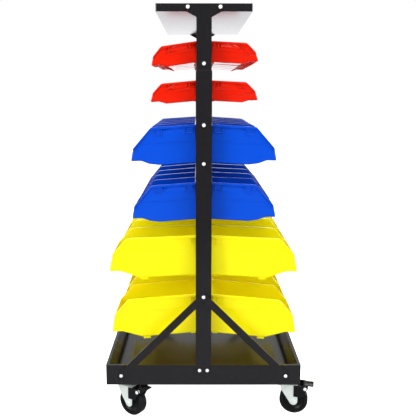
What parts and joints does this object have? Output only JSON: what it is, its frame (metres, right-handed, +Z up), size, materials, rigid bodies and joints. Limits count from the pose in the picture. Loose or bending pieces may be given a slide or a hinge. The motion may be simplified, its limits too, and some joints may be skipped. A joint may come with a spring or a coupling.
{
  "type": "mobile bin cart",
  "caption": "Steel cart on swivel casters with brakes, a deep base tray, a top tray, and rows of hook-on plastic bins hung on both sides between its end posts.",
  "frame": {"origin": "on the floor, under the middle of the cart's bounding box", "axes": "+Z up; Y runs along the cart and the end nearest the camera in the picture is at -Y; X runs across it and the bins open towards +X and -X"},
  "size_m": [0.5912, 0.6489, 1.05],
  "materials": {
    "black_powder_coat": "semi-gloss black powder coat",
    "red_plastic": "smooth moulded polypropylene, red",
    "blue_plastic": "smooth moulded polypropylene, blue",
    "yellow_plastic": "smooth moulded polypropylene, yellow",
    "zinc_plate": "bright zinc-plated pressed steel",
    "black_tyre": "satin black rubber tread on a black hub",
    "black_brake": "satin black moulded plastic"
  },
  "bodies": {
    "cart": {"base_tray": "black_powder_coat", "bin_bank_blue_lower_left": "blue_plastic", "bin_bank_blue_lower_right": "blue_plastic", "bin_bank_blue_upper_left": "blue_plastic", "bin_bank_blue_upper_right": "blue_plastic", "bin_bank_red_lower_left": "red_plastic", "bin_bank_red_lower_right": "red_plastic", "bin_bank_red_upper_left": "red_plastic", "bin_bank_red_upper_right": "red_plastic", "bin_bank_yellow_lower_left": "yellow_plastic", "bin_bank_yellow_lower_right": "yellow_plastic", "bin_bank_yellow_upper_left": "yellow_plastic", "bin_bank_yellow_upper_right": "yellow_plastic", "caster_plate_far_left": "zinc_plate", "caster_plate_far_right": "zinc_plate", "caster_plate_near_left": "zinc_plate", "caster_plate_near_right": "zinc_plate", "far_brace_left": "black_powder_coat", "far_brace_right": "black_powder_coat", "far_lower_post": "black_powder_coat", "far_upper_post": "black_powder_coat", "near_brace_left": "black_powder_coat", "near_brace_right": "black_powder_coat", "near_lower_post": "black_powder_coat", "near_upper_post": "black_powder_coat", "rail_blue_lower": "black_powder_coat", "rail_blue_upper": "black_powder_coat", "rail_red_lower": "black_powder_coat", "rail_red_upper": "black_powder_coat", "rail_yellow_lower": "black_powder_coat", "rail_yellow_upper": "black_powder_coat", "top_tray": "black_powder_coat"},
    "bin_blue_lower_left": {"near_bin_blue_lower_left": "blue_plastic"},
    "bin_blue_lower_right": {"near_bin_blue_lower_right": "blue_plastic"},
    "bin_blue_upper_left": {"near_bin_blue_upper_left": "blue_plastic"},
    "bin_blue_upper_right": {"near_bin_blue_upper_right": "blue_plastic"},
    "bin_red_lower_left": {"near_bin_red_lower_left": "red_plastic"},
    "bin_red_lower_right": {"near_bin_red_lower_right": "red_plastic"},
    "bin_red_upper_left": {"near_bin_red_upper_left": "red_plastic"},
    "bin_red_upper_right": {"near_bin_red_upper_right": "red_plastic"},
    "bin_yellow_lower_left": {"near_bin_yellow_lower_left": "yellow_plastic"},
    "bin_yellow_lower_right": {"near_bin_yellow_lower_right": "yellow_plastic"},
    "bin_yellow_upper_left": {"near_bin_yellow_upper_left": "yellow_plastic"},
    "bin_yellow_upper_right": {"near_bin_yellow_upper_right": "yellow_plastic"},
    "fork_near_right": {"caster_fork_near_right": "zinc_plate", "caster_axle_near_right": "zinc_plate"},
    "wheel_near_right": {"caster_wheel_near_right": "black_tyre"},
    "pedal_near_right": {"brake_pedal_near_right": "black_brake"},
    "fork_near_left": {"caster_fork_near_left": "zinc_plate", "caster_axle_near_left": "zinc_plate"},
    "wheel_near_left": {"caster_wheel_near_left": "black_tyre"},
    "pedal_near_left": {"brake_pedal_near_left": "black_brake"},
    "fork_far_left": {"caster_fork_far_left": "zinc_plate", "caster_axle_far_left": "zinc_plate"},
    "wheel_far_left": {"caster_wheel_far_left": "black_tyre"},
    "pedal_far_left": {"brake_pedal_far_left": "black_brake"},
    "fork_far_right": {"caster_fork_far_right": "zinc_plate", "caster_axle_far_right": "zinc_plate"},
    "wheel_far_right": {"caster_wheel_far_right": "black_tyre"},
    "pedal_far_right": {"brake_pedal_far_right": "black_brake"}
  },
  "joints": [
    {"name": "lift_bin_blue_lower_left", "type": "slide", "parent": "cart", "child": "bin_blue_lower_left", "axis": [-0.0785, 0, 0.9969], "range_m": [0, 0.02]},
    {"name": "lift_bin_blue_lower_right", "type": "slide", "parent": "cart", "child": "bin_blue_lower_right", "axis": [0.0558, 0, 0.9984], "range_m": [0, 0.02]},
    {"name": "lift_bin_blue_upper_left", "type": "slide", "parent": "cart", "child": "bin_blue_upper_left", "axis": [-0.0698, 0, 0.9976], "range_m": [0, 0.02]},
    {"name": "lift_bin_blue_upper_right", "type": "slide", "parent": "cart", "child": "bin_blue_upper_right", "axis": [0.0593, 0, 0.9982], "range_m": [0, 0.02]},
    {"name": "lift_bin_red_lower_left", "type": "slide", "parent": "cart", "child": "bin_red_lower_left", "axis": [-0.0924, 0, 0.9957], "range_m": [0, 0.02]},
    {"name": "lift_bin_red_lower_right", "type": "slide", "parent": "cart", "child": "bin_red_lower_right", "axis": [0.0506, 0, 0.9987], "range_m": [0, 0.02]},
    {"name": "lift_bin_red_upper_left", "type": "slide", "parent": "cart", "child": "bin_red_upper_left", "axis": [-0.1444, 0, 0.9895], "range_m": [0, 0.02]},
    {"name": "lift_bin_red_upper_right", "type": "slide", "parent": "cart", "child": "bin_red_upper_right", "axis": [0.0523, 0, 0.9986], "range_m": [0, 0.02]},
    {"name": "lift_bin_yellow_lower_left", "type": "slide", "parent": "cart", "child": "bin_yellow_lower_left", "axis": [-0.0889, 0, 0.996], "range_m": [0, 0.02]},
    {"name": "lift_bin_yellow_lower_right", "type": "slide", "parent": "cart", "child": "bin_yellow_lower_right", "axis": [0.0958, 0, 0.9954], "range_m": [0, 0.02]},
    {"name": "lift_bin_yellow_upper_left", "type": "slide", "parent": "cart", "child": "bin_yellow_upper_left", "axis": [-0.0488, 0, 0.9988], "range_m": [0, 0.02]},
    {"name": "lift_bin_yellow_upper_right", "type": "slide", "parent": "cart", "child": "bin_yellow_upper_right", "axis": [0.0523, 0, 0.9986], "range_m": [0, 0.02]},
    {"name": "swivel_near_right", "type": "hinge", "parent": "cart", "child": "fork_near_right", "pos_m": [0.212, -0.263, 0.0952], "axis": [0, 0, 1], "continuous": true},
    {"name": "roll_near_right", "type": "hinge", "parent": "fork_near_right", "child": "wheel_near_right", "pos_m": [0.24243, -0.26892, 0.0375], "axis": [0.1908, 0.9816, 0], "continuous": true},
    {"name": "brake_near_right", "type": "hinge", "parent": "fork_near_right", "child": "pedal_near_right", "pos_m": [0.27188, -0.27464, 0.0752], "axis": [0.1908, 0.9816, 0], "range_deg": [0, 18]},
    {"name": "swivel_near_left", "type": "hinge", "parent": "cart", "child": "fork_near_left", "pos_m": [-0.212, -0.263, 0.0952], "axis": [0, 0, 1], "continuous": true},
    {"name": "roll_near_left", "type": "hinge", "parent": "fork_near_left", "child": "wheel_near_left", "pos_m": [-0.1863, -0.28034, 0.0375], "axis": [0.5592, 0.829, 0], "continuous": true},
    {"name": "brake_near_left", "type": "hinge", "parent": "fork_near_left", "child": "pedal_near_left", "pos_m": [-0.16143, -0.29711, 0.0752], "axis": [0.5592, 0.829, 0], "range_deg": [0, 18]},
    {"name": "swivel_far_left", "type": "hinge", "parent": "cart", "child": "fork_far_left", "pos_m": [-0.212, 0.263, 0.0952], "axis": [0, 0, 1], "continuous": true},
    {"name": "roll_far_left", "type": "hinge", "parent": "fork_far_left", "child": "wheel_far_left", "pos_m": [-0.243, 0.263, 0.0375], "axis": [0, -1, 0], "continuous": true},
    {"name": "brake_far_left", "type": "hinge", "parent": "fork_far_left", "child": "pedal_far_left", "pos_m": [-0.273, 0.263, 0.0752], "axis": [0, -1, 0], "range_deg": [0, 18]},
    {"name": "swivel_far_right", "type": "hinge", "parent": "cart", "child": "fork_far_right", "pos_m": [0.212, 0.263, 0.0952], "axis": [0, 0, 1], "continuous": true},
    {"name": "roll_far_right", "type": "hinge", "parent": "fork_far_right", "child": "wheel_far_right", "pos_m": [0.18825, 0.28293, 0.0375], "axis": [-0.6428, -0.766, 0], "continuous": true},
    {"name": "brake_far_right", "type": "hinge", "parent": "fork_far_right", "child": "pedal_far_right", "pos_m": [0.16527, 0.30221, 0.0752], "axis": [-0.6428, -0.766, 0], "range_deg": [0, 18]}
  ]
}
